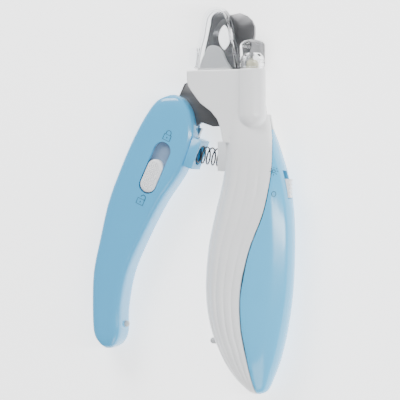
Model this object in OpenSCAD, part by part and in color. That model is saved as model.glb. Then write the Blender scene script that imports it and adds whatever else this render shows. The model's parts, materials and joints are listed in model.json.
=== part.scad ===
// Scissor nail clipper for pets, lying on its back.
// Pivot on the Z axis, blades towards +Y, lit face towards +Z, table at z = 0.

/* [Blades] */
// thickness of each blade plate
blade_t = 2; // [1.5:0.1:2.5]
// radius of both nail notches
notch_r = 6; // [4:0.5:8]
// width of the ground edge along a notch
edge_w = 1.8; // [0.5:0.1:2.5]
// radius of the pivot shaft
pin_r = 2.5; // [2:0.1:3]

/* [Handles] */
// front height of the ribbed handle above the shear plane
grip_front = 9.5; // [8:0.5:11]
// front height of the lever above the shear plane
lever_front = 5.5; // [4:0.5:7]
// wall of the moulded shells
wall = 1.8; // [1.2:0.1:2.5]

/* [Lamp] */
// radius of the lamp tube
tube_r = 5.2; // [4:0.1:6]
// radius of the clear lens
lens_r = 4.9; // [4:0.1:6]

/* [Return spring] */
// outside radius of the coil
coil_r = 3.6; // [3:0.1:4]
// wire thickness
wire_d = 0.6; // [0.4:0.1:1]
// number of turns
turns = 6; // [4:1:9]

/* [Hidden] */
$fn = 48;
plane = 8.5;
slot_a = [-29.2, -35];
slot_deg = 24.8;
lamp_x = 14.3;
lamp_z = plane + 5.4;
// post that the lock bolt catches
lug = [-6.03, -7.85];
// the stem under the lock button: its place along the slot and the length of its own slot
stem_x = 0.6;
stem_run = 8.1;
// corner of the slide switch knob and its travel
power = [24.6, -40.4, plane + 0.2];
power_travel = 3;
seat_m = [-9.2, -23.6];
seat_deg = -20.9;
coil_from = [-10.93, -22.94, 8];
coil_to = [1.6, -25.15, 8];
// x, y, top of the boss above the shear plane, underside of the screw head
screw_at = [[9, -56, 8.4, 1.1], [7, -88, 8.2, 1.1], [9, -104, 6.6, 1.9]];
blade_screw_at = [[8.7, -18, 7], [9.5, -27.5, 7.6]];
lever_screw_at = [[-24, -11, 5, 1.1], [-44, -56, 5, 1.1], [-47.5, -92, 5, 1.1]];

// rows: y, left x, right x, front height, rear height, seam angle
grip = [[-8, 0.6, 19.6, 7, 8.5, 0], [-14, 1.4, 20.9, 7.7, 8.5, 6], [-22, 2.4, 23.8, 8.7, 8.5, 32],
        [-34, 0.9, 27.4, 9.3, 8.5, 56], [-46, -2.1, 29.1, grip_front, 8.5, 70],
        [-60, -5.1, 29.5, grip_front, 8.5, 85], [-76, -6.2, 28.8, grip_front, 8.5, 91],
        [-90, -4.4, 26.9, 9.4, 8.5, 91], [-102, 0.4, 24.1, 8.3, 7.8, 89], [-110, 5.6, 21.2, 6.2, 6, 88],
        [-115, 10.8, 18.8, 3.8, 3.6, 90], [-116.4, 13.4, 16.2, 1.5, 1.5, 90]];
arm = [[0.2, -21, -18.2, 3.2, 5, 0], [-2, -26.2, -14.6, 4.9, 7.6, 0], [-8, -31.2, -11.4, lever_front, 8.5, 0],
       [-18, -37, -10.9, lever_front, 8.5, 0], [-30, -42.5, -15.8, lever_front, 8.5, 0],
       [-42, -47.1, -24.2, lever_front, 8.5, 0], [-56, -50.5, -32, lever_front, 8.5, 0],
       [-70, -53.4, -38.4, lever_front, 8.5, 0], [-84, -53.8, -41.3, lever_front, 8.5, 0],
       [-94, -53.2, -41.6, 5.4, 8.3, 0], [-98.4, -50.8, -43.4, 4.6, 6.9, 0], [-100.2, -48.4, -45.8, 3, 4.4, 0]];

// smooth curve through the rows, at whole row i plus fraction u
function row(t, i) = t[max(0, min(len(t) - 1, i))];
function smooth(t, i, u) =
    0.5 * (2 * row(t, i) + (row(t, i + 1) - row(t, i - 1)) * u
    + (2 * row(t, i - 1) - 5 * row(t, i) + 4 * row(t, i + 1) - row(t, i + 2)) * u * u
    + (3 * row(t, i) - row(t, i - 1) - 3 * row(t, i + 1) + row(t, i + 2)) * u * u * u);
function rows(t, first, per) =
    [for (i = [first : len(t) - 2], k = [0 : per - 1]) smooth(t, i, k / per), t[len(t) - 1]];

// point on a rounded section: s is the row, a the angle, n the squareness, g the share of the wall
function rim(s, a, n, g) =
    let (w = (s[2] - s[1]) / 2, h = sin(a) >= 0 ? s[3] : s[4], m = min(w, h) < 3 ? 0.9 : wall,
         fx = 1 - g * min(m, 0.9 * w) / w, fz = 1 - g * min(m, 0.9 * h) / h)
    [(s[1] + s[2]) / 2 + fx * w * sign(cos(a)) * pow(abs(cos(a)), 2 / n), s[0],
     plane + fz * h * sign(sin(a)) * pow(abs(sin(a)), 2 / n)];

// open shell between two angles, one closed ring of points per row
module shell(t, first, n, a0, a1, seam0, seam1, per = 2, k = 12) {
    r = rows(t, first, per);
    m = 2 * (k + 1);
    pts = [for (s = r) each concat(
        [for (j = [0 : k]) rim(s, lo(s, a0, seam0) + (hi(s, a1, seam1) - lo(s, a0, seam0)) * j / k, n, 0)],
        [for (j = [k : -1 : 0])
            rim(s, lo(s, a0, seam0) + (hi(s, a1, seam1) - lo(s, a0, seam0)) * j / k, n, 1)])];
    last = (len(r) - 1) * m;
    polyhedron(pts, concat(
        [for (i = [0 : len(r) - 2], j = [0 : m - 1]) each [
            [i * m + j, (i + 1) * m + j, i * m + (j + 1) % m],
            [i * m + (j + 1) % m, (i + 1) * m + j, (i + 1) * m + (j + 1) % m]]],
        [for (j = [0 : k - 1]) each [
            [j, j + 1, m - 1 - j], [j + 1, m - 2 - j, m - 1 - j]]],
        [for (j = [0 : k - 1]) each [
            [last + j, last + m - 1 - j, last + j + 1],
            [last + j + 1, last + m - 1 - j, last + m - 2 - j]]]));
}
function lo(s, a, seam) = a + seam * s[5];
function hi(s, a, seam) = a + seam * s[5];

module at(p, z) { translate([p[0], p[1], z]) children(); }
module disc(p, z0, z1, r) { at(p, z0) cylinder(r = r, h = z1 - z0); }
module slab(z0, z1) { translate([0, 0, z0]) linear_extrude(z1 - z0) children(); }
module stadium(d, r) {
    translate([0, -r]) square([d, 2 * r]);
    circle(r = r);
    translate([d, 0]) circle(r = r);
}
module along_lock(p, z0, z1) { at(p, z0) rotate(90 - slot_deg) linear_extrude(z1 - z0) children(); }

module head_left() {
    polygon([[-12.4, 9.4], [-12.4, 5.5], [-11.8, 3.2], [-10.6, 1.3], [-6.8, -3.6], [-2.3, -7], [0.2, -10],
        [1.5, -13.5], [2.2, -19], [14.3, -19], [14.3, 9.4]]);
}
module head_back() {
    polygon([[-12.4, 9.4], [-12.4, 5.5], [-11.8, 3.2], [-10.6, 1.3], [-6.8, -3.6], [-2.3, -7], [0.2, -10],
        [1.5, -13.5], [17.6, -13.5], [16.2, -8], [15.2, -2], [14.8, 9.4]]);
}
module seat_left_block(z0, z1) {
    at(seat_m, z0) rotate(seat_deg) translate([-3.8, -5.9, 0]) cube([3.8, 11.8, z1 - z0]);
}
module lock_sweep()
    along_lock([-17.5, -28.7], plane - 4.3, plane - 1.95) translate([0, -1.7]) square([25, 3.4]);

module front_housing() color([0.92, 0.92, 0.92]) {
    difference() {
        union() {
            difference() {
                shell(grip, 0, 2.4, 0.8, 180, 1, 0);
                slab(plane - 1, plane + 2.3) circle(r = 14);
                slab(plane - 1, plane + 12) translate([3.5, -12]) square([15, 5]);
            }
            slab(plane + 4.8, plane + 7) head_left();
            slab(plane + 2.3, plane + 4.9) difference() {
                head_left();
                translate([3, -2]) scale(0.78) translate([-3, 2]) head_left();
            }
            slab(plane + 2.1, plane + 4.8) polygon([[-8.1, 9.3], [-8.1, 10.2], [-6.8, 13.5], [-3.8, 18.8],
                [-1.9, 19.2], [0.2, 18.3], [2, 16.5], [4.6, 9.3]]);
            translate([lamp_x, -8.3, lamp_z]) rotate([-90, 0, 0]) cylinder(r = tube_r, h = 17.7);
            translate([lamp_x, -8.3, lamp_z]) sphere(r = tube_r);
            disc([0, 0], plane + 2.3, plane + 5, 4.6);
            for (p = blade_screw_at) disc(p, plane + 2.05, plane + p[2], 2);
            for (p = screw_at) disc(p, plane, plane + p[2], 2);
        }
        translate([lamp_x, -5, lamp_z]) rotate([-90, 0, 0]) cylinder(r = 4.25, h = 20);
        translate([lamp_x, -33, lamp_z - 1]) rotate([-90, 0, 0]) cylinder(r = 1.2, h = 30);
        bumper_hole([-3.6, -96.2, plane]);
        disc([0, 0], plane - 1, plane + 4.7, pin_r + 0.05);
        for (p = blade_screw_at) disc(p, plane - 1, plane + 5, 0.85);
        for (p = screw_at) disc(p, plane - 1, plane + 5, 0.85);
        translate([-1, -30, plane - 6]) cube([4.4, 11.5, 10.5]);
    }
}

module rear_housing() color([0.92, 0.92, 0.92]) {
    difference() {
        union() {
            difference() {
                union() {
                    shell(grip, 0, 2.4, 180, 359.2, 0, -1);
                    slab(0, plane) difference() {
                        head_back();
                        translate([4, -1.5]) scale(0.84) translate([-4, 1.5]) head_back();
                    }
                    slab(0, 2) head_back();
                }
                slab(plane - 4.3, plane + 1) circle(r = 14);
                slab(plane - 2.3, plane + 1) translate([-14, 0]) square([26.6, 12]);
                translate([4, -22, 2]) cube([13, 14, 10]);
            }
            disc([0, 0], 1, plane - 2.3, 4.6);
            disc(lug, 1, plane - 2.4, 0.5);
            slab(0, plane - 4.35)
                polygon([[-8.2, -2], [-7.9, -6], [-7.1, -8.6], [-5.6, -9.4], [-3, -8.6], [0, -7]]);
            for (p = screw_at) disc(p, p[3] - 0.1, plane, 2);
        }
        disc([0, 0], plane - 6.4, plane, pin_r + 0.05);
        bumper_hole([-3.6, -96.2, plane]);
        for (p = screw_at) {
            disc(p, -1, plane + 1, 0.85);
            disc(p, -1, p[3] + 1.5, 1.75);
        }
        translate([-1, -30, plane - 5.5]) cube([4.4, 11.5, 10.5]);
    }
}

module spine_cover() color([0.63, 0.82, 0.91])
    difference() {
        shell(grip, 1, 2.4, 0.5, -0.5, -1, 1);
        translate(power - [1, 0.25, 0.25]) cube([9, 7.8 + power_travel, 3.5]);
    }

module tongue(w, y0, y1, r) {
    polygon(concat([[w, y0]], [for (a = [-8 : 14 : 188]) [r * cos(a), y1 + r * sin(a)]], [[-w, y0]]));
}
module fixed_blade() color([0.6, 0.6, 0.61])
    difference() {
        union() {
            slab(plane, plane + blade_t) tongue(8.2, 10, 28.5, 4);
            slab(plane, plane + blade_t) polygon([[-8.2, 10.01], [-8.2, 2], [-5, -6], [2.4, -10.4], [5.6, -15],
                [6.2, -30.5], [12.5, -30.5], [12.5, -17], [8.4, -10], [8.2, 10.01]]);
        }
        disc([4.8, 22.4], plane - 1, plane + 4, notch_r);
        at([4.8, 22.4], plane + blade_t - 1.5) cylinder(r1 = notch_r, r2 = notch_r + edge_w, h = 1.6);
        disc([0, 0], plane - 1, plane + 4, pin_r + 0.05);
        for (p = blade_screw_at) disc(p, plane - 1, plane + 4, 1.05);
    }

module blade_outline() {
    difference() {
        polygon([[-1, 30.6], [1.5, 31], [4, 31.2], [7.4, 31.7], [10, 30.6], [12, 28.8], [13.2, 26.2], [13.2, 23],
            [12.6, 20], [11.8, 10], [11.6, 3], [10.6, -4], [7, -9], [3.5, -11.8], [0.5, -12.3], [-3.8, -12.4],
            [-8.7, -10.7], [-12.6, -13.4], [-16.2, -20], [-21.6, -33.5], [-27.6, -38.8], [-33.2, -36.4],
            [-29.5, -25], [-21, -7.4], [-17.8, 0.4], [-15.8, 4.6], [-13.9, 5.5], [-9.5, 7], [-6, 10],
            [-4.6, 14], [-4.2, 18]]);
        translate([-2.2, 22.4]) circle(r = notch_r);
    }
}
module moving_blade() color([0.56, 0.57, 0.58])
    difference() {
        slab(plane - blade_t, plane) blade_outline();
        at([-2.2, 22.4], plane - blade_t - 0.1) cylinder(r1 = notch_r + 1.2, r2 = notch_r, h = 1.3);
        disc([0, 0], plane - 4, plane + 1, pin_r + 0.05);
        along_lock(slot_a, plane - 4, plane + 1) translate([stem_x, 0]) stadium(stem_run, 1.7);
        disc(lever_screw_at[0], plane - 4, plane + 1, 2.05);
    }

module blade_screws() color([0.62, 0.62, 0.63])
    for (p = blade_screw_at) {
        disc(p, plane, plane + 4.8, 0.8);
        disc(p, plane - 1.3, plane, 1.8);
    }

module pivot_pin() color([0.7, 0.7, 0.71]) {
    disc([0, 0], plane - 6.2, plane + 4.6, pin_r);
}

module pivot_washers() color([0.75, 0.75, 0.72]) {
    for (z = [plane - 2.29, plane + blade_t + 0.01])
        difference() {
            disc([0, 0], z, z + 0.28, 5);
            disc([0, 0], z - 1, z + 1, pin_r + 0.1);
        }
}

module lamp_lens() color([0.93, 0.95, 0.96, 0.5])
    translate([lamp_x, 0, lamp_z]) rotate([-90, 0, 0])
        difference() {
            rotate_extrude() polygon(concat([[0, 6.2], [4.2, 6.2], [4.2, 9.42], [lens_r, 9.42], [lens_r, 18.4]],
                [for (a = [15 : 15 : 90]) [lens_r * cos(a), 18.4 + 2.4 * sin(a)]]));
            translate([0, 0, 5]) cylinder(r = 3.3, h = 11.5);
        }

module lamp_led() color([0.95, 0.93, 0.82])
    translate([lamp_x, 0, lamp_z]) rotate([-90, 0, 0]) {
        translate([0, 0, 4]) cylinder(r = 2.9, h = 1);
        translate([0, 0, 5]) cylinder(r = 2.5, h = 6);
        translate([0, 0, 11]) sphere(r = 2.5);
    }

module lamp_holder() color([0.95, 0.95, 0.94])
    translate([lamp_x, 0, lamp_z]) rotate([-90, 0, 0])
        difference() {
            translate([0, 0, -4.5]) cylinder(r = 4.15, h = 10.6);
            translate([0, 0, 3.98]) cylinder(r = 3, h = 5);
            for (x = [-1.27, 1.27]) translate([x, 0, -6]) cylinder(r = 0.4, h = 12);
        }

module lamp_wires() color([0.75, 0.2, 0.15]) {
    for (x = [-0.55, 0.55]) translate([lamp_x + x, -5, lamp_z - 1]) rotate([90, 0, 0]) cylinder(r = 0.4, h = 27);
}

module circuit_board() color([0.15, 0.4, 0.25])
    difference() {
        translate([11, -52, plane - 1.5]) cube([12.2, 19, 1.2]);
        disc([17, -49], plane - 3, plane + 4, 1);
    }

module button_cells() color([0.75, 0.75, 0.76])
    for (k = [0 : 2])
        translate([15, -64 - 3.7 * k, plane]) rotate([90, 0, 0]) {
            cylinder(r = 3.95, h = 2.6);
            translate([0, 0, 2.6]) cylinder(r = 3.2, h = 1);
        }

module battery_contacts() color([0.8, 0.75, 0.6]) {
    translate([12, -63.8, plane - 3.5]) cube([6, 0.4, 7]);
    translate([12, -77, plane - 3.5]) cube([6, 0.4, 7]);
    for (k = [0 : 2]) translate([15, -75.25 - 0.5 * k, plane]) rotate([90, 0, 0])
        difference() {
            cylinder(r = 2.8 - 0.5 * k, h = 0.5);
            translate([0, 0, -1]) cylinder(r = 1.3, h = 3);
        }
}

module switch_body() color([0.25, 0.25, 0.26])
    difference() {
        translate([17.5, -42, plane - 0.28]) cube([5.6, 9.6, 3.4]);
        translate([20.6, -40.8, plane + 0.5]) cube([4, 5.8, 2.2]);
    }

module power_knob() color([0.93, 0.93, 0.92]) {
    translate(power + [-3.6, 0.4, 0.6]) cube([3.7, 2, 1.6]);
    translate(power) difference() {
        cube([4.3, 7.3, 3]);
        for (k = [0 : 3]) translate([3.9, 1.1 + 1.5 * k, -1]) cube([1, 0.6, 5]);
    }
}

module right_spring_seat() color([0.83, 0.84, 0.85])
    difference() {
        translate([-0.3, -29.98, plane - 5.48]) cube([3.68, 11.46, 9.96]);
        translate([-5, -24.95, 8]) rotate([0, 90, 0]) cylinder(r = coil_r + 0.45, h = 7.35);
    }

module left_spring_seat() color([0.6, 0.79, 0.89])
    difference() {
        seat_left_block(plane - 5.4, plane + 4.4);
        at(seat_m, 8) rotate(seat_deg) translate([-2.6, 0, 0]) rotate([0, 90, 0])
            cylinder(r = coil_r + 0.45, h = 8);
    }

// coil from one seat floor to the other
module return_spring() color([0.66, 0.66, 0.67]) {
    d = coil_to - coil_from;
    span = norm(d);
    n = turns * 16;
    k = 6;
    rc = coil_r - wire_d / 2;
    pts = [for (i = [0 : n]) each [for (j = [0 : k - 1])
        let (a = 360 * i / 16, q = rc + wire_d / 2 * cos(360 * j / k))
        [wire_d / 2 + (span - wire_d) * i / n + wire_d / 2 * sin(360 * j / k), q * cos(a), q * sin(a)]]];
    translate(coil_from) rotate(atan2(d[1], d[0]))
        polyhedron(pts, concat(
            [for (i = [0 : n - 1], j = [0 : k - 1]) each [
                [i * k + j, i * k + (j + 1) % k, (i + 1) * k + j],
                [i * k + (j + 1) % k, (i + 1) * k + (j + 1) % k, (i + 1) * k + j]]],
            [for (j = [1 : k - 2]) [0, j + 1, j]],
            [for (j = [1 : k - 2]) [n * k, n * k + j, n * k + j + 1]]));
}

module cross_screw(p, tip) {
    difference() {
        disc(p, p[3], p[3] + 1.5, 1.65);
        at(p, p[3] - 0.1) for (a = [0, 90]) rotate(a) translate([-1.1, -0.2, 0]) cube([2.2, 0.4, 0.8]);
    }
    disc(p, p[3] + 1.5, tip, 0.8);
}
module housing_screws() color([0.6, 0.6, 0.61])
    for (p = screw_at) cross_screw(p, plane + 4.6);

module bumper_hole(p) { translate(p - [2, 0, 0]) rotate([0, 90, 0]) cylinder(r = 1.27, h = 4.2); }
module right_bumper() color([0.86, 0.87, 0.88]) {
    translate([-3.6, -96.2, plane]) rotate([0, 90, 0]) cylinder(r = 1.25, h = 2.1);
    translate([-3.6, -96.2, plane]) sphere(r = 1.25);
}

module left_bumper() color([0.86, 0.87, 0.88]) {
    translate([-42.6, -90.7, plane - 1.5]) rotate([0, 90, 0]) cylinder(r = 1.25, h = 1.6);
    translate([-41, -90.7, plane - 1.5]) sphere(r = 1.25);
}

module lever_front_shell() color([0.6, 0.79, 0.89])
    difference() {
        union() {
            shell(arm, 0, 4.5, 0, 180, 0, 0);
            for (p = lever_screw_at) disc(p, plane, plane + p[2], 2);
            along_lock(slot_a, plane + 2.6, plane + 5.3) translate([-1, 0]) stadium(16.3, 5.2);
        }
        along_lock(slot_a, plane + 1, plane + 9) stadium(14.3, 3.7);
        along_lock(slot_a, plane + 0.5, plane + 3.4) translate([-1, 0]) stadium(16.3, 4.6);
        for (p = lever_screw_at) disc(p, plane - 1, plane + 4, 0.85);
        seat_left_block(plane - 5.4, plane + 4.4);
    }

module lever_rear_shell() color([0.6, 0.79, 0.89])
    difference() {
        union() {
            shell(arm, 0, 4.5, 180, 360, 0, 0);
            for (p = lever_screw_at) disc(p, 1, plane - 2.05, 2);
        }
        slab(plane - blade_t - 0.03, plane + 1) blade_outline();
        lock_sweep();
        bumper_hole([-41, -90.7, plane - 1.5]);
        seat_left_block(plane - 5.4, plane + 4.4);
        for (p = lever_screw_at) {
            disc(p, -1, plane, 0.85);
            disc(p, -1, 2.6, 1.75);
        }
    }

module lever_screws() color([0.6, 0.6, 0.61])
    for (p = lever_screw_at) cross_screw(p, plane + 3.9);

module lock_track() color([0.62, 0.69, 0.77])
    along_lock(slot_a, plane + 2.6, plane + 3.38) translate([-1, 0]) difference() {
        stadium(16.3, 4.55);
        translate([stem_x + 1, 0]) stadium(stem_run, 1.7);
    }

module detent_spring() color([0.7, 0.7, 0.68])
    along_lock(slot_a, plane + 2.05, plane + 2.55) translate([0, 2.4]) square([14, 1.2]);

module lock_button() color([0.93, 0.93, 0.94]) {
    along_lock(slot_a, plane + 3.42, plane + 5.7) translate([0.15, 0]) stadium(7.1, 3.3);
    for (k = [0 : 5])
        along_lock(slot_a, plane + 5.5, plane + 6.1) translate([0.2 + 1.35 * k, -2.6]) square([0.7, 5.2]);
    along_lock(slot_a, plane - 2.3, plane + 3.6) translate([stem_x, 0]) stadium(1.2, 1.2);
}

module lock_bolt() color([0.7, 0.7, 0.7])
    slab(plane - 4, plane - 2.3)
        polygon([[-9.27, -13.01], [-10.91, -12.25], [-14.8, -20.4], [-29.4, -31.4], [-30.4, -34.6],
            [-28.2, -35.9], [-25.8, -33.4], [-24.6, -31.7],
            [-15.1, -24.3], [-13.3, -21.7]]);

module catcher_outline() {
    polygon([[-10.1, 10], [-8.7, 18.5], [-7.4, 23.2], [-6.6, 27.9], [-5.6, 31], [-3.6, 33.2], [-1.2, 33.8],
        [1.4, 33.6], [3.6, 31.6], [5.1, 27.3], [5.9, 22.3], [6.9, 18.8], [8.5, 10]]);
}
module nail_catcher() color([0.9, 0.93, 0.95, 0.4])
    difference() {
        union() {
            slab(plane + 2.1, plane + 6) catcher_outline();
            slab(plane + 3, plane + 5)
                polygon([[-9, 10.9], [-11.2, 10.9], [-12, 12], [-12, 17], [-11.2, 18.1], [-8, 18.1]]);
        }
        slab(plane + 1, plane + 5) translate([-0.8, 9.9]) scale(0.9) translate([0.8, -9]) catcher_outline();
        slab(plane + 1, plane + 5) polygon([[-9.1, 9], [-7.8, 18.4], [6, 18.4], [7.5, 9]]);
    }

front_housing();
rear_housing();
spine_cover();
fixed_blade();
blade_screws();
pivot_pin();
pivot_washers();
lamp_lens();
lamp_led();
lamp_holder();
lamp_wires();
circuit_board();
button_cells();
battery_contacts();
switch_body();
right_spring_seat();
return_spring();
housing_screws();
right_bumper();
lever_front_shell();
lever_rear_shell();
moving_blade();
left_spring_seat();
lever_screws();
left_bumper();
lock_track();
detent_spring();
lock_button();
lock_bolt();
power_knob();
nail_catcher();
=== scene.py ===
# Looks for the scissor nail clipper. Lengths are written in millimetres and scaled by MM.
import json
import math

import bmesh
import bpy
from mathutils import Matrix, Vector


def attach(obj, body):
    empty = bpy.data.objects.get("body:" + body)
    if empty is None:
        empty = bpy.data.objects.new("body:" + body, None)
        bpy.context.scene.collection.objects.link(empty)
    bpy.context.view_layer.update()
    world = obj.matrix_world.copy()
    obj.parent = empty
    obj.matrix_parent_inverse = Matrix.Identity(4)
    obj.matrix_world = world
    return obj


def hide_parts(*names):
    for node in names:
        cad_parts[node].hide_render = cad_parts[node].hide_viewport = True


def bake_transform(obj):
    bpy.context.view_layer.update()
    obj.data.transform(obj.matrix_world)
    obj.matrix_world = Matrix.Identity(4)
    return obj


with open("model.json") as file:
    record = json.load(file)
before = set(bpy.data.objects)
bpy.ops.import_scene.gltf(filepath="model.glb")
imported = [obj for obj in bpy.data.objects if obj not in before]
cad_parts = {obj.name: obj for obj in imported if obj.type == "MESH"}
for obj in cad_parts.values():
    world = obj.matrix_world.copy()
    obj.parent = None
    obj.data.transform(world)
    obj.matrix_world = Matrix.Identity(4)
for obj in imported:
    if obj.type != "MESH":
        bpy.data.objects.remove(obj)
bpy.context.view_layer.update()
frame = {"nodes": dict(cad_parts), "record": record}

MM = 0.001
PLANE = 8.5
WALL = 1.8
TUBE_X, TUBE_Z, TUBE_R = 14.3, PLANE + 5.4, 5.2
SLOT = Vector((-29.2, -35.0))
SLOT_DEG = 65.2
SLOT_RUN = 14.3
SEAT, SEAT_DEG = (-9.2, -23.6), -20.9
CAMERA_DISTANCE = 0.655

# y, left x, right x, front height, rear height, seam angle of the ribbed handle and of the lever
GRIP = [(-8, 0.6, 19.6, 7, 8.5, 0), (-14, 1.4, 20.9, 7.7, 8.5, 6), (-22, 2.4, 23.8, 8.7, 8.5, 32),
        (-34, 0.9, 27.4, 9.3, 8.5, 56), (-46, -2.1, 29.1, 9.5, 8.5, 70), (-60, -5.1, 29.5, 9.5, 8.5, 85),
        (-76, -6.2, 28.8, 9.5, 8.5, 91), (-90, -4.4, 26.9, 9.4, 8.5, 91), (-102, 0.4, 24.1, 8.3, 7.8, 89),
        (-110, 5.6, 21.2, 6.2, 6, 88), (-115, 10.8, 18.8, 3.8, 3.6, 90), (-116.4, 13.4, 16.2, 1.5, 1.5, 90)]
ARM = [(0.2, -21, -18.2, 3.2, 5, 0), (-2, -26.2, -14.6, 4.9, 7.6, 0), (-8, -31.2, -11.4, 5.5, 8.5, 0),
       (-18, -37, -10.9, 5.5, 8.5, 0), (-30, -42.5, -15.8, 5.5, 8.5, 0), (-42, -47.1, -24.2, 5.5, 8.5, 0),
       (-56, -50.5, -32, 5.5, 8.5, 0), (-70, -53.4, -38.4, 5.5, 8.5, 0), (-84, -53.8, -41.3, 5.5, 8.5, 0),
       (-94, -53.2, -41.6, 5.4, 8.3, 0), (-98.4, -50.8, -43.4, 4.6, 6.9, 0),
       (-100.2, -48.4, -45.8, 3, 4.4, 0)]


# ---------- procedural materials ----------

def new_material(name):
    mat = bpy.data.materials.new(name)
    mat.use_nodes = True
    return mat, mat.node_tree, mat.node_tree.nodes["Principled BSDF"]


def noise(tree, scale, stretch=(1, 1, 1), detail=3):
    coords = tree.nodes.new("ShaderNodeTexCoord")
    mapping = tree.nodes.new("ShaderNodeMapping")
    mapping.inputs["Scale"].default_value = stretch
    texture = tree.nodes.new("ShaderNodeTexNoise")
    texture.inputs["Scale"].default_value = scale
    texture.inputs["Detail"].default_value = detail
    tree.links.new(coords.outputs["Object"], mapping.inputs["Vector"])
    tree.links.new(mapping.outputs["Vector"], texture.inputs["Vector"])
    return texture.outputs["Fac"]


def spread(tree, source, low, high):
    node = tree.nodes.new("ShaderNodeMapRange")
    node.inputs["To Min"].default_value = low
    node.inputs["To Max"].default_value = high
    tree.links.new(source, node.inputs["Value"])
    return node.outputs["Result"]


def tint(tree, source, low, high):
    node = tree.nodes.new("ShaderNodeMix")
    node.data_type = "RGBA"
    node.inputs["A"].default_value = (*low, 1)
    node.inputs["B"].default_value = (*high, 1)
    tree.links.new(source, node.inputs["Factor"])
    return node.outputs["Result"]


def bump(tree, source, shader, depth_mm):
    node = tree.nodes.new("ShaderNodeBump")
    node.inputs["Distance"].default_value = depth_mm * MM
    node.inputs["Strength"].default_value = 0.5
    tree.links.new(source, node.inputs["Height"])
    tree.links.new(node.outputs["Normal"], shader.inputs["Normal"])


def plastic(name, colour, rough=0.22, grain=0.004, coat=0.4, shift=0.035):
    mat, tree, shader = new_material(name)
    low = [c * (1 - shift) for c in colour]
    high = [min(1, c * (1 + shift)) for c in colour]
    tree.links.new(tint(tree, noise(tree, 60), low, high), shader.inputs["Base Color"])
    tree.links.new(spread(tree, noise(tree, 240), rough * 0.8, rough * 1.25), shader.inputs["Roughness"])
    bump(tree, noise(tree, 2600, detail=2), shader, grain)
    shader.inputs["Coat Weight"].default_value = coat
    shader.inputs["Coat Roughness"].default_value = 0.12
    return mat


def steel(name, colour, rough=0.3, stretch=(1, 0.03, 1)):
    mat, tree, shader = new_material(name)
    lines = noise(tree, 2200, stretch, 4)
    low = [c * 0.9 for c in colour]
    high = [c * 1.08 for c in colour]
    tree.links.new(tint(tree, lines, low, high), shader.inputs["Base Color"])
    tree.links.new(spread(tree, lines, rough * 0.75, rough * 1.3), shader.inputs["Roughness"])
    bump(tree, lines, shader, 0.01)
    shader.inputs["Metallic"].default_value = 1
    return mat


def clear(name, colour, rough=0.03):
    mat, tree, shader = new_material(name)
    tree.links.new(spread(tree, noise(tree, 300), rough, rough * 2.4), shader.inputs["Roughness"])
    bump(tree, noise(tree, 500), shader, 0.004)
    shader.inputs["Base Color"].default_value = (*colour, 1)
    shader.inputs["Transmission Weight"].default_value = 1
    shader.inputs["IOR"].default_value = 1.46
    return mat


MATS = {
    "white_plastic": plastic("white_plastic", (0.86, 0.865, 0.87), 0.3),
    "lever_blue": plastic("lever_blue", (0.07, 0.40, 0.70), 0.2),
    "spine_blue": plastic("spine_blue", (0.09, 0.49, 0.82), 0.18),
    "blade_steel": steel("blade_steel", (0.2, 0.2, 0.205), 0.38),
    "arm_steel": steel("arm_steel", (0.17, 0.17, 0.175), 0.4, (0.05, 1, 1)),
    "screw_steel": steel("screw_steel", (0.5, 0.5, 0.51), 0.3, (1, 1, 0.1)),
    "spring_steel": steel("spring_steel", (0.05, 0.05, 0.055), 0.35, (1, 1, 1)),
    "clear_plastic": clear("clear_plastic", (0.97, 0.985, 1)),
    "lens_plastic": clear("lens_plastic", (0.98, 0.99, 1), 0.02),
    "led_epoxy": plastic("led_epoxy", (0.9, 0.86, 0.62), 0.15),
    "holder_white": plastic("holder_white", (0.84, 0.84, 0.83), 0.5, 0.01, 0),
    "wire_red": plastic("wire_red", (0.5, 0.04, 0.03), 0.4, 0.01, 0),
    "board_green": plastic("board_green", (0.02, 0.13, 0.05), 0.35, 0.006, 0.2),
    "cell_steel": steel("cell_steel", (0.55, 0.55, 0.56), 0.2, (1, 1, 1)),
    "contact_brass": steel("contact_brass", (0.7, 0.58, 0.36), 0.3, (1, 1, 1)),
    "switch_black": plastic("switch_black", (0.02, 0.02, 0.022), 0.5, 0.01, 0),
    "seat_grey": plastic("seat_grey", (0.68, 0.70, 0.72), 0.35, 0.008, 0.1),
    "seat_blue": plastic("seat_blue", (0.07, 0.39, 0.68), 0.3, 0.006, 0.2),
    "bumper_clear": plastic("bumper_clear", (0.5, 0.51, 0.52), 0.45, 0.01, 0),
    "track_blue": plastic("track_blue", (0.20, 0.29, 0.42), 0.4, 0.008, 0),
    "button_white": plastic("button_white", (0.84, 0.85, 0.87), 0.35, 0.006, 0.2),
    "washer_plastic": plastic("washer_plastic", (0.55, 0.55, 0.5), 0.5, 0.01, 0),
    "icon_ink": plastic("icon_ink", (0.005, 0.05, 0.09), 0.4, 0.003, 0),
}


# ---------- mesh helpers ----------

def mesh_object(name, verts, faces):
    mesh = bpy.data.meshes.new(name)
    mesh.from_pydata([Vector(v) * MM for v in verts], [], faces)
    mesh.update()
    obj = bpy.data.objects.new(name, mesh)
    bpy.context.scene.collection.objects.link(obj)
    outward(obj)
    return obj


def outward(obj):
    work = bmesh.new()
    work.from_mesh(obj.data)
    bmesh.ops.recalc_face_normals(work, faces=work.faces)
    work.to_mesh(obj.data)
    work.free()


def baked(obj):
    """The object with its modifiers applied."""
    graph = bpy.context.evaluated_depsgraph_get()
    mesh = bpy.data.meshes.new_from_object(obj.evaluated_get(graph))
    obj.modifiers.clear()
    obj.data = mesh
    return obj


def cut(obj, *tools):
    for tool in tools:
        mod = obj.modifiers.new("cut", "BOOLEAN")
        mod.operation = "DIFFERENCE"
        mod.solver = "EXACT"
        mod.object = tool
        baked(obj)
        bpy.data.objects.remove(tool)
    return obj


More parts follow.
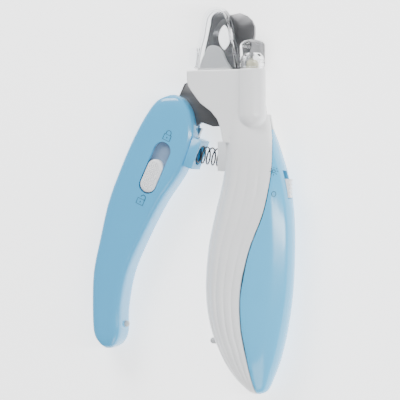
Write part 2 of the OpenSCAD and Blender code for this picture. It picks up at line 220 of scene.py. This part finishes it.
def joined(name, pieces):
    work = bmesh.new()
    for piece in pieces:
        work.from_mesh(piece.data)
        bpy.data.objects.remove(piece)
    mesh = bpy.data.meshes.new(name)
    work.to_mesh(mesh)
    work.free()
    obj = bpy.data.objects.new(name, mesh)
    bpy.context.scene.collection.objects.link(obj)
    return obj


def fused(obj, voxel, passes):
    """One skin around overlapping solids, with soft fillets where they meet."""
    mod = obj.modifiers.new("skin", "REMESH")
    mod.mode = "VOXEL"
    mod.voxel_size = voxel * MM
    baked(obj)
    mod = obj.modifiers.new("soften", "SMOOTH")
    mod.factor = 0.5
    mod.iterations = passes
    return baked(obj)


def soft_edges(obj, width=0.2, segments=3, angle=35):
    for poly in obj.data.polygons:
        poly.use_smooth = True
    weld = obj.modifiers.new("weld", "WELD")
    weld.merge_threshold = 0.002 * MM
    if width:
        round_off = obj.modifiers.new("edges", "BEVEL")
        round_off.width = width * MM
        round_off.segments = segments
        round_off.limit_method = "ANGLE"
        round_off.angle_limit = math.radians(angle)
        round_off.harden_normals = True
    split = obj.modifiers.new("creases", "EDGE_SPLIT")
    split.split_angle = math.radians(angle)
    split.use_edge_sharp = False


def finish(obj, slot, body, *nodes):
    obj.data.materials.clear()
    obj.data.materials.append(MATS[slot])
    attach(obj, body)
    if nodes:
        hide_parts(*nodes)
    return obj


# ---------- handle sections ----------

def spline(p, u):
    """The smooth curve through four neighbours, at the share u between the middle two."""
    return [0.5 * (2 * b + (c - a) * u + (2 * a - 5 * b + 4 * c - d) * u * u
                   + (3 * b - a - 3 * c + d) * u ** 3) for a, b, c, d in zip(*p)]


def blend_rows(rows, at):
    i = min(int(at), len(rows) - 2)
    return spline([rows[max(0, min(len(rows) - 1, i + k))] for k in (-1, 0, 1, 2)], at - i)


def dense(rows, per):
    count = (len(rows) - 1) * per
    return [blend_rows(rows, i / per) for i in range(count + 1)]


def power(value, exponent):
    return math.copysign(abs(value) ** exponent, value) if abs(value) > 1e-9 else 0.0


def rim(row, degrees, n, inner, edge=0.0):
    """A point on a row's section; inner is 0 on the skin and 1 on the inside of the wall."""
    y, left, right, front, rear, _ = row
    half = (right - left) / 2
    c, s = math.cos(math.radians(degrees)), math.sin(math.radians(degrees))
    height = front if s >= 0 else rear
    wall = 0.9 if min(half, height) < 3 else WALL
    depth = inner * wall + edge
    fx = 1 - min(depth, 0.9 * half) / half
    fz = 1 - min(depth, 0.9 * height) / height
    return ((left + right) / 2 + fx * half * power(c, 2 / n), y, PLANE + fz * height * power(s, 2 / n))


def shell(name, rows, n, start, stop, per=10, k=48, lip=0.0):
    """Open shell from angle start(row) to stop(row), with edges rolled in by lip."""
    section = dense(rows, per)
    ring = 2 * (k + 1)
    verts = []
    for row in section:
        a, b = start(row), stop(row)
        angles = [a + (b - a) * j / k for j in range(k + 1)]
        roll = [lip * max(0, 1 - min(j, k - j) / 2) ** 2 for j in range(k + 1)]
        verts += [rim(row, t, n, 0, e) for t, e in zip(angles, roll)]
        verts += [rim(row, t, n, 1) for t in reversed(angles)]
    faces = []
    for i in range(len(section) - 1):
        for j in range(ring):
            m = (j + 1) % ring
            faces.append((i * ring + j, i * ring + m, (i + 1) * ring + m, (i + 1) * ring + j))
    last = (len(section) - 1) * ring
    for base in (0, last):
        faces += [(base + j, base + j + 1, base + ring - 2 - j, base + ring - 1 - j) for j in range(k)]
    return mesh_object(name, verts, faces)


# ---------- plain forms ----------

def smooth_loop(points, per=6):
    count = len(points)
    loop = []
    for i in range(count):
        p = [points[(i + k) % count] for k in (-1, 0, 1, 2)]
        loop += [tuple(spline(p, s / per)) for s in range(per)]
    return loop


def slab(name, outline, low, high):
    count = len(outline)
    verts = [(x, y, low) for x, y in outline] + [(x, y, high) for x, y in outline]
    faces = [tuple(range(count)), tuple(range(2 * count - 1, count - 1, -1))]
    faces += [(i, (i + 1) % count, count + (i + 1) % count, count + i) for i in range(count)]
    return mesh_object(name, verts, faces)


def stadium(run, radius, steps=20):
    right = [(run + radius * math.cos(a), radius * math.sin(a))
             for a in (math.pi * (i / steps - 0.5) for i in range(steps + 1))]
    left = [(radius * math.cos(a), radius * math.sin(a))
            for a in (math.pi * (i / steps + 0.5) for i in range(steps + 1))]
    return right + left


def turned(points, origin, degrees):
    c, s = math.cos(math.radians(degrees)), math.sin(math.radians(degrees))
    return [(origin[0] + x * c - y * s, origin[1] + x * s + y * c) for x, y in points]


def along_slot(points, shift=0.0):
    return turned([(x + shift, y) for x, y in points], SLOT, SLOT_DEG)


def circle(x, y, radius, steps=40):
    return [(x + radius * math.cos(2 * math.pi * i / steps), y + radius * math.sin(2 * math.pi * i / steps))
            for i in range(steps)]


def lathe(name, profile, origin, steps=72):
    """Closed profile of (radius, along +Y) turned about an axis along Y through origin."""
    ox, oy, oz = origin
    verts = []
    for i in range(steps):
        a = 2 * math.pi * i / steps
        verts += [(ox + r * math.cos(a), oy + h, oz + r * math.sin(a)) for r, h in profile]
    count = len(profile)
    faces = []
    for i in range(steps):
        n = (i + 1) % steps
        faces += [(i * count + j, n * count + j, n * count + (j + 1) % count, i * count + (j + 1) % count)
                  for j in range(count)]
    obj = mesh_object(name, verts, faces)
    work = bmesh.new()
    work.from_mesh(obj.data)
    bmesh.ops.remove_doubles(work, verts=work.verts, dist=0.001 * MM)
    bmesh.ops.dissolve_degenerate(work, edges=work.edges, dist=0.0005 * MM)
    bmesh.ops.recalc_face_normals(work, faces=work.faces)
    work.to_mesh(obj.data)
    work.free()
    return obj


def wire(name, points, radius, closed=False):
    """A thin round line through points given in millimetres."""
    curve = bpy.data.curves.new(name, "CURVE")
    curve.dimensions = "3D"
    curve.bevel_depth = radius * MM
    curve.bevel_resolution = 2
    spline = curve.splines.new("POLY")
    spline.points.add(len(points) - 1)
    for target, p in zip(spline.points, points):
        target.co = (p[0] * MM, p[1] * MM, p[2] * MM, 1)
    spline.use_cyclic_u = closed
    spline.use_smooth = True
    temp = bpy.data.objects.new(name + "_curve", curve)
    bpy.context.scene.collection.objects.link(temp)
    graph = bpy.context.evaluated_depsgraph_get()
    mesh = bpy.data.meshes.new_from_object(temp.evaluated_get(graph))
    bpy.data.objects.remove(temp)
    obj = bpy.data.objects.new(name, mesh)
    bpy.context.scene.collection.objects.link(obj)
    return obj


# ---------- ribbed handle ----------

HEAD_RIM = [(-12.3, 9.3), (-12.3, 5.5), (-11.7, 3.2), (-10.5, 1.3), (-6.8, -3.5), (-2.3, -6.9), (0.3, -10),
            (1.6, -13.5), (2.6, -19)]
LEVER_SCREWS = [(-24, -11), (-44, -56), (-47.5, -92)]
SCREW_R, CUP_TOP = 1.75, 2.6
# recess of each housing screw: x, y, top
REAR_RECESS = [(9, -56, 2.6), (7, -88, 2.6), (9, -104, 3.4)]
HEAD_BACK = [(-12.4, 9.4), (-12.4, 5.5), (-11.8, 3.2), (-10.6, 1.3), (-6.8, -3.6), (-2.3, -7), (0.2, -10),
             (1.5, -13.5), (17.6, -13.5), (16.2, -8), (15.2, -2), (14.8, 9.4)]
BLADE_ARM = [(-3.8, -12.4), (-8.7, -10.7), (-12.6, -13.4), (-16.2, -20), (-21.6, -33.5), (-27.6, -38.8),
             (-33.2, -36.4), (-29.5, -25), (-21, -7.4), (-17.8, 0.4), (-15.8, 4.6), (-13.9, 5.5), (-9.5, 7)]


def grip_row(y):
    """The ribbed handle's row at a height y."""
    low, high = 0.0, float(len(GRIP) - 1)
    for _ in range(30):
        mid = (low + high) / 2
        if blend_rows(GRIP, mid)[0] > y:
            low = mid
        else:
            high = mid
    return blend_rows(GRIP, (low + high) / 2)


def front_skin(x, row, n=2.4):
    half = (row[2] - row[1]) / 2
    u = (x - (row[1] + row[2]) / 2) / half
    return None if abs(u) > 0.93 else PLANE + row[3] * (1 - abs(u) ** n) ** (1 / n)


def carve_ribs(obj, count=5, depth=0.55):
    for v in obj.data.vertices:
        x, y, z = v.co / MM
        if y > -17 or y < -114 or z < PLANE + 2:
            continue
        row = grip_row(y)
        skin = front_skin(x, row)
        if skin is None or abs(z - skin) > 0.7:
            continue
        seam = rim(row, row[5], 2.4, 0)[0]
        q = (x - row[1]) / max(0.5, seam - row[1])
        fade = min(1, max(0, (-22 - y) / 16)) * min(1, max(0, (y + 114.5) / 10))
        edge = min(1, max(0, (1 - q) / 0.1)) * min(1, max(0, (q - 0.04) / 0.1))
        groove = (1 - abs(math.sin(math.pi * (count * q + 0.15)))) ** 1.6
        v.co.z = (skin - 0.02 - depth * fade * edge * groove) * MM if abs(z - skin) < 0.4 else v.co.z


def front_housing():
    skin = shell("front_skin", GRIP, 2.4, lambda r: r[5] + 0.8, lambda r: 179.9, 8, 40)
    cut(skin, slab("room", circle(0, 0, 13.9, 90), PLANE - 1, PLANE + 2.25))
    cut(skin, slab("seat", [(-8, -30), (3.4, -30), (3.4, -18.5), (-8, -18.5)], PLANE - 6, PLANE + 4.5))
    plate = slab("plate", HEAD_RIM + [(10, -19), (10, 9.3)], PLANE + 4.9, PLANE + 6.95)
    side = [(x + 1.5, y + 0.6) for x, y in reversed(HEAD_RIM[1:])]
    rim_wall = slab("rim_wall", HEAD_RIM[:-1] + [(2.9, -13.4)] + side[1:] + [(-10.8, 9.3)],
                    PLANE + 2.35, PLANE + 5.2)
    top_wall = slab("top_wall", [(-12.3, 9.3), (-12.3, 7.7), (10, 7.7), (10, 9.3)], PLANE + 2.35, PLANE + 5.2)
    tongue_edge = smooth_loop([(-8, 9), (-7.9, 10.4), (-6.8, 13.5), (-4.6, 18), (-2.9, 19),
                               (-0.6, 18.7), (1.4, 17), (3, 13.5), (4.6, 9)], 4)
    tongue = slab("tongue", tongue_edge, PLANE + 2.2, PLANE + 4.7)
    boss = slab("boss", circle(0, 0, 4.5), PLANE + 2.4, PLANE + 5.2)
    dome = [(TUBE_R * math.cos(a), -8.3 - TUBE_R * math.sin(a))
            for a in (math.pi / 2 * i / 12 for i in range(13))]
    tube = lathe("tube", [(TUBE_R - 0.25, 9.35), (TUBE_R - 0.02, 9.0)] + dome
                 + [(0.01, -5), (4.25, -5), (4.25, 9.35)], (TUBE_X, 0, TUBE_Z))
    obj = fused(joined("front_housing_skin", [skin, plate, rim_wall, top_wall, tongue, boss, tube]), 0.3, 7)
    carve_ribs(obj)
    soft_edges(obj, 0)
    return finish(obj, "white_plastic", "handle", "front_housing")


def screw_cup(x, y):
    """Short tube with a closed end around a screw-head recess."""
    cup = slab("cup", circle(x, y, 2), 1, CUP_TOP + 0.8)
    room = slab("cup_room", circle(x, y, SCREW_R), -1, CUP_TOP)
    return cut(cup, room, slab("cup_bore", circle(x, y, 0.85), 0, 9))


def rear_housing():
    skin = shell("rear_skin", GRIP, 2.4, lambda r: 180.0, lambda r: 359.2, 8, 40)
    cut(skin, slab("room", circle(0, 0, 14, 90), PLANE - 4.3, PLANE + 1))
    cut(skin, slab("lead_way", [(4, -22), (17, -22), (17, -8), (4, -8)], 2, 12))
    cut(skin, slab("seat", [(-1, -30), (3.4, -30), (3.4, -18.5), (-1, -18.5)], PLANE - 5.5, PLANE + 5))
    cut(skin, *[slab("recess", circle(x, y, SCREW_R), -1, tip) for x, y, tip in REAR_RECESS])
    plate = slab("plate", HEAD_BACK, 0, 2)
    inner = [(4 + 0.84 * (x - 4), -1.5 + 0.84 * (y + 1.5)) for x, y in HEAD_BACK]
    wall = cut(slab("wall", HEAD_BACK, 0.5, PLANE), slab("wall_room", inner, -1, 9 + PLANE))
    cut(wall, slab("sweep", circle(0, 0, 14, 90), PLANE - 4.3, PLANE + 1),
        slab("sweep_top", [(-14, 0), (12.6, 0), (12.6, 12), (-14, 12)], PLANE - 2.3, PLANE + 1))
    boss = slab("boss", circle(0, 0, 4.6), 1, PLANE - 2.3)
    obj = fused(joined("rear_housing_skin", [skin, plate, wall, boss]), 0.3, 6)
    soft_edges(obj, 0)
    return finish(obj, "white_plastic", "handle", "rear_housing")


def spine_cover():
    obj = shell("spine_skin", GRIP[1:], 2.4, lambda r: 0.5 - r[5], lambda r: r[5] - 0.5, 16, 64, 0.3)
    window = [(23.6, -40.65), (34, -40.65), (34, -29.8), (23.6, -29.8)]
    cut(obj, slab("pocket", window, PLANE - 0.05, PLANE + 3.45))
    soft_edges(obj, 0, angle=40)
    return finish(obj, "spine_blue", "handle", "spine_cover")


# ---------- lever ----------

def lever_front():
    obj = shell("lever_front_skin", ARM, 4.5, lambda r: 0.0, lambda r: 180.0, 12, 72, 0.0)
    cut(obj, slab("slot", along_slot(stadium(SLOT_RUN, 3.7, 28)), PLANE + 1, PLANE + 9))
    cut(obj, seat_block())
    soft_edges(obj, 0.3, 3, 50)
    return finish(obj, "lever_blue", "lever", "lever_front_shell")


def lever_rear():
    obj = shell("lever_rear_skin", ARM, 4.5, lambda r: 180.0, lambda r: 360.0, 12, 72, 0.0)
    cut(obj, slab("blade_way", BLADE_ARM, PLANE - 2.03, PLANE + 1))
    cut(obj, slab("bolt_way", turned([(0, -1.7), (25, -1.7), (25, 1.7), (0, 1.7)], (-17.5, -28.7), SLOT_DEG),
                  PLANE - 4.3, PLANE - 1.95))
    cut(obj, seat_block())
    cut(obj, *[slab("recess", circle(x, y, SCREW_R), -1, CUP_TOP) for x, y in LEVER_SCREWS])
    obj = joined("lever_rear_skin", [obj] + [screw_cup(x, y) for x, y in LEVER_SCREWS])
    soft_edges(obj, 0, angle=40)
    return finish(obj, "lever_blue", "lever", "lever_rear_shell")


def seat_block():
    outline = turned([(-3.8, -5.9), (2, -5.9), (2, 5.9), (-3.8, 5.9)], SEAT, SEAT_DEG)
    return slab("seat_block", outline, PLANE - 5.4, PLANE + 4.4)


def lock_button():
    """Rounded stadium with a field of small raised diamonds."""
    run, radius, shift = 7.1, 3.3, 0.15
    layers = [(3.45, 0.0), (4.9, 0.0), (5.35, 0.12), (5.6, 0.4), (5.7, 0.8)]
    verts, faces = [], []
    for z, inset in layers:
        verts += [(x, y, PLANE + z) for x, y in along_slot(stadium(run, radius - inset, 24), shift)]
    count = 50
    for layer in range(len(layers) - 1):
        a, b = layer * count, (layer + 1) * count
        faces += [(a + i, a + (i + 1) % count, b + (i + 1) % count, b + i) for i in range(count)]
    faces += [tuple(range(count)), tuple(range((len(layers) - 1) * count, len(layers) * count))]
    body = mesh_object("button_body", verts, faces)
    pitch = 1.1
    studs_v, studs_f = [], []
    for i in range(-8, 22):
        for j in range(-8, 9):
            x, y = pitch * (i + j) / 2 + 0.3, pitch * (i - j) / 2
            over = max(0, -x, x - run)
            if abs(y) > 2.4 or math.hypot(over, y) > 2.45:
                continue
            ring = [(x + 0.44, y), (x, y + 0.44), (x - 0.44, y), (x, y - 0.44)]
            tip = [(x + 0.14, y), (x, y + 0.14), (x - 0.14, y), (x, y - 0.14)]
            base = len(studs_v)
            studs_v += [(*p, PLANE + 5.6) for p in along_slot(ring, shift)]
            studs_v += [(*p, PLANE + 6.08) for p in along_slot(tip, shift)]
            studs_f += [(base + 4, base + 5, base + 6, base + 7), (base + 3, base + 2, base + 1, base)]
            studs_f += [(base + k, base + (k + 1) % 4, base + 4 + (k + 1) % 4, base + 4 + k)
                        for k in range(4)]
    studs = mesh_object("studs", studs_v, studs_f)
    stem = slab("stem", along_slot(stadium(1.2, 1.2), 0.6), PLANE - 2.35, PLANE + 3.5)
    obj = joined("lock_button_top", [body, studs, stem])
    outward(obj)
    soft_edges(obj, 0, angle=30)
    return finish(obj, "button_white", "lock_slider", "lock_button")


def padlock(name, centre, is_open):
    """Generic padlock outline lying on the lever's face."""
    z = PLANE + 5.5

    def place(points):
        return [(*p, z) for p in turned(points, centre, 40 - SLOT_DEG)]

    box = [(-1.5, -1.9), (1.5, -1.9), (1.5, 0.4), (-1.5, 0.4)]
    lean = 0.8 if is_open else 0
    arch = [(1.0 * math.cos(a) + lean * 0.6, 1.15 + 1.0 * math.sin(a)) for a in
            (math.pi * i / 12 for i in range(13))]
    shackle = [(1.0 + lean * 0.6, 0.4)] + arch + ([] if is_open else [(-1.0, 0.4)])
    pieces = [wire("box", place(box), 0.13, True), wire("arch", place(shackle), 0.13),
              wire("key", place([(0, -0.5), (0, -1.1)]), 0.16)]
    obj = joined(name, pieces)
    soft_edges(obj, 0)
    return finish(obj, "icon_ink", "lever")


def spine_mark(x, y):
    """Point on the skin of the spine cover."""
    row = grip_row(y)
    return (x, y, front_skin(x, row) + 0.01)


def spine_marks():
    """A ring for off and a small sun for on."""
    pieces = [wire("ring", [spine_mark(23.6 + 0.75 * math.cos(a), -38.9 + 0.95 * math.sin(a))
                            for a in (2 * math.pi * i / 20 for i in range(20))], 0.12, True)]
    sun = (23.3, -30.2)
    pieces.append(wire("disc", [spine_mark(sun[0] + 0.5 * math.cos(a), sun[1] + 0.6 * math.sin(a))
                                for a in (2 * math.pi * i / 14 for i in range(14))], 0.12, True))
    for i in range(8):
        a = 2 * math.pi * i / 8
        pieces.append(wire("ray", [spine_mark(sun[0] + r * math.cos(a), sun[1] + 1.2 * r * math.sin(a))
                                   for r in (0.9, 1.15, 1.4)], 0.11))
    obj = joined("switch_marks", pieces)
    soft_edges(obj, 0)
    return finish(obj, "icon_ink", "handle")


# ---------- catcher, lamp and spring ----------

CATCHER = [(-10.05, 10.05), (-9.5, 14), (-8.7, 18.5), (-7.4, 23.2), (-6.6, 27.9), (-5.6, 31), (-3.6, 33.0),
           (-1.2, 33.7), (1.4, 33.4), (3.6, 31.4), (5.1, 27.3), (5.9, 22.3), (6.9, 18.8), (7.8, 14),
           (8.4, 10.05)]


def inset(loop, by):
    """The open outline moved inwards; its straight foot at the first and last point stays on its line."""
    moved = []
    for i, (x, y) in enumerate(loop):
        ax, ay = loop[max(0, i - 1)]
        bx, by_ = loop[min(len(loop) - 1, i + 1)]
        dx, dy = bx - ax, by_ - ay
        length = math.hypot(dx, dy)
        ny = -dx / length * by
        moved.append((x + dy / length * by, y + (0 if i in (0, len(loop) - 1) else ny)))
    return moved


def open_curve(points, per):
    loop = []
    for i in range(len(points) - 1):
        p = [points[max(0, min(len(points) - 1, i + k))] for k in (-1, 0, 1, 2)]
        loop += [tuple(spline(p, s / per)) for s in range(per)]
    return loop + [points[-1]]


def nail_catcher():
    outer = open_curve(CATCHER, 6)
    count = len(outer)
    layers = [(outer, 2.1), (outer, 5.5), (inset(outer, 0.12), 5.8), (inset(outer, 0.45), 6.0),
              (inset(outer, 1.6), 6.0), (inset(outer, 1.6), 5.05), (inset(outer, 1.2), 4.95),
              (inset(outer, 1.0), 4.6), (inset(outer, 1.0), 2.1)]
    verts = [(x, y, PLANE + z) for loop, z in layers for x, y in loop]
    faces = []
    for a in range(len(layers)):
        b = (a + 1) % len(layers)
        if a == 4:
            continue
        faces += [(a * count + i, a * count + i + 1, b * count + i + 1, b * count + i)
                  for i in range(count - 1)]
    for a in (4, 5):
        faces += [(a * count + i, a * count + i + 1, a * count + count - 2 - i, a * count + count - 1 - i)
                  for i in range(count // 2)]
    for end in (0, count - 1):
        faces.append(tuple(a * count + end for a in range(len(layers))))
    front, back = 4 * count, 5 * count
    faces.append((front, front + count - 1, back + count - 1, back))
    obj = mesh_object("catcher_shell", verts, faces)
    tab_edge = smooth_loop([(-9.2, 11), (-11, 11), (-11.95, 12.4), (-11.95, 16.6), (-11, 18), (-8.7, 18)], 5)
    tab = slab("tab", tab_edge, PLANE + 3.05, PLANE + 4.9)
    obj = joined("catcher_shell", [obj, tab])
    soft_edges(obj, 0, angle=30)
    return finish(obj, "clear_plastic", "catcher", "nail_catcher")


def lamp_lens():
    dome = [(4.85 * math.cos(a), 18.3 + 2.4 * math.sin(a)) for a in (math.pi / 2 * i / 16 for i in range(17))]
    profile = [(4.15, 6.25), (4.15, 9.45), (4.55, 9.45), (4.55, 9.9), (4.85, 10.0), (4.85, 11.9),
               (4.65, 12.1), (4.65, 12.4), (4.85, 12.6)] + dome
    hollow = [(0.0, 15.6), (2.0, 15.3), (2.9, 14.2), (3.2, 12.8), (3.2, 6.25)]
    obj = lathe("lens_clear", profile + hollow, (TUBE_X, 0, TUBE_Z))
    soft_edges(obj, 0, angle=28)
    return finish(obj, "lens_plastic", "handle", "lamp_lens")


def lamp_led():
    dome = [(2.45 * math.cos(a), 11 + 2.45 * math.sin(a)) for a in (math.pi / 2 * i / 12 for i in range(13))]
    obj = lathe("led_bulb", [(0, 4), (2.85, 4), (2.85, 4.9), (2.45, 5.0)] + dome, (TUBE_X, 0, TUBE_Z))
    soft_edges(obj, 0, angle=30)
    return finish(obj, "led_epoxy", "handle", "lamp_led")


def return_spring():
    start, end = Vector((1.6, -25.15, 8.0)), Vector((-10.93, -22.94, 8.0))
    axis = (end - start).normalized()
    side = axis.cross(Vector((0, 0, 1))).normalized()
    up = side.cross(axis)
    wire_r, coil_r, turns = 0.3, 3.3, 6
    length = (end - start).length - 2 * wire_r
    points = []
    for i in range(turns * 32 + 1):
        t = i / (turns * 32)
        pitch = (t - 0.11 * math.sin(2 * math.pi * t) / (2 * math.pi)) * length + wire_r
        a = 2 * math.pi * turns * t
        points.append(start + axis * pitch + (side * math.cos(a) + up * math.sin(a)) * coil_r)
    obj = wire("coil", points, wire_r)
    obj.data.materials.clear()
    obj.data.materials.append(MATS["spring_steel"])
    for poly in obj.data.polygons:
        poly.use_smooth = True
    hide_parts("return_spring")
    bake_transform(obj)
    return obj


# ---------- everything in place ----------

front_housing()
spine_cover()
rear_housing()
lever_front()
lever_rear()
lock_button()
padlock("closed_padlock", (-20.7, -16.0), False)
padlock("open_padlock", (-32.0, -41.1), True)
spine_marks()
nail_catcher()
lamp_lens()
lamp_led()
return_spring()

BEVELS = {"fixed_blade": 0.12, "moving_blade": 0.12, "left_spring_seat": 0.9, "right_spring_seat": 0.9,
          "power_knob": 0.25}
SLOTS = {part["node"]: part["material_slot"] for part in frame["record"]["subparts"]}
for node, obj in frame["nodes"].items():
    obj.data.materials.clear()
    obj.data.materials.append(MATS[SLOTS[node]])
    soft_edges(obj, BEVELS.get(node, 0.08), 2, 35)


# ---------- studio ----------

def area_light(name, place, target, size, power_w, size_y=None):
    data = bpy.data.lights.new(name, "AREA")
    data.shape = "RECTANGLE"
    data.size = size
    data.size_y = size_y or size
    data.energy = power_w
    obj = bpy.data.objects.new(name, data)
    bpy.context.scene.collection.objects.link(obj)
    obj.location = place
    obj.rotation_euler = (Vector(target) - Vector(place)).to_track_quat("-Z", "Y").to_euler()


def studio():
    world = bpy.data.worlds.new("studio")
    bpy.context.scene.world = world
    world.use_nodes = True
    world.node_tree.nodes["Background"].inputs["Color"].default_value = (0.93, 0.96, 1, 1)
    world.node_tree.nodes["Background"].inputs["Strength"].default_value = 0.4
    middle = (-0.01, -0.04, 0.01)
    area_light("key", (-0.22, 0.5, 0.42), middle, 0.35, 6.5)
    area_light("strip", (0.42, -0.05, 0.35), middle, 0.06, 2.2, 0.5)
    area_light("fill", (0.1, -0.5, 0.4), middle, 0.4, 1.8)
    floor = mesh_object("floor", [(-1500, -1500, 0), (1500, -1500, 0), (1500, 1500, 0), (-1500, 1500, 0)],
                        [(0, 1, 2, 3)])
    mat, _, shader = new_material("floor_white")
    shader.inputs["Base Color"].default_value = (0.95, 0.95, 0.95, 1)
    shader.inputs["Roughness"].default_value = 0.9
    shader.inputs["Emission Color"].default_value = (1, 1, 1, 1)
    shader.inputs["Emission Strength"].default_value = 1.7
    floor.data.materials.append(mat)


def camera():
    tilt = math.radians(20)
    target = Vector((-9.2, -41.2, PLANE)) * MM
    data = bpy.data.cameras.new("camera")
    data.lens = 150
    data.sensor_width = 36
    obj = bpy.data.objects.new("camera", data)
    bpy.context.scene.collection.objects.link(obj)
    away = Vector((math.sin(tilt), 0, math.cos(tilt)))
    right = Vector((math.cos(tilt), 0, -math.sin(tilt)))
    up = Vector((0, 1, 0))
    turn = Matrix((right, up, away)).transposed().to_4x4()
    obj.matrix_world = Matrix.Translation(target + away * CAMERA_DISTANCE) @ turn
    bpy.context.scene.camera = obj


studio()
camera()
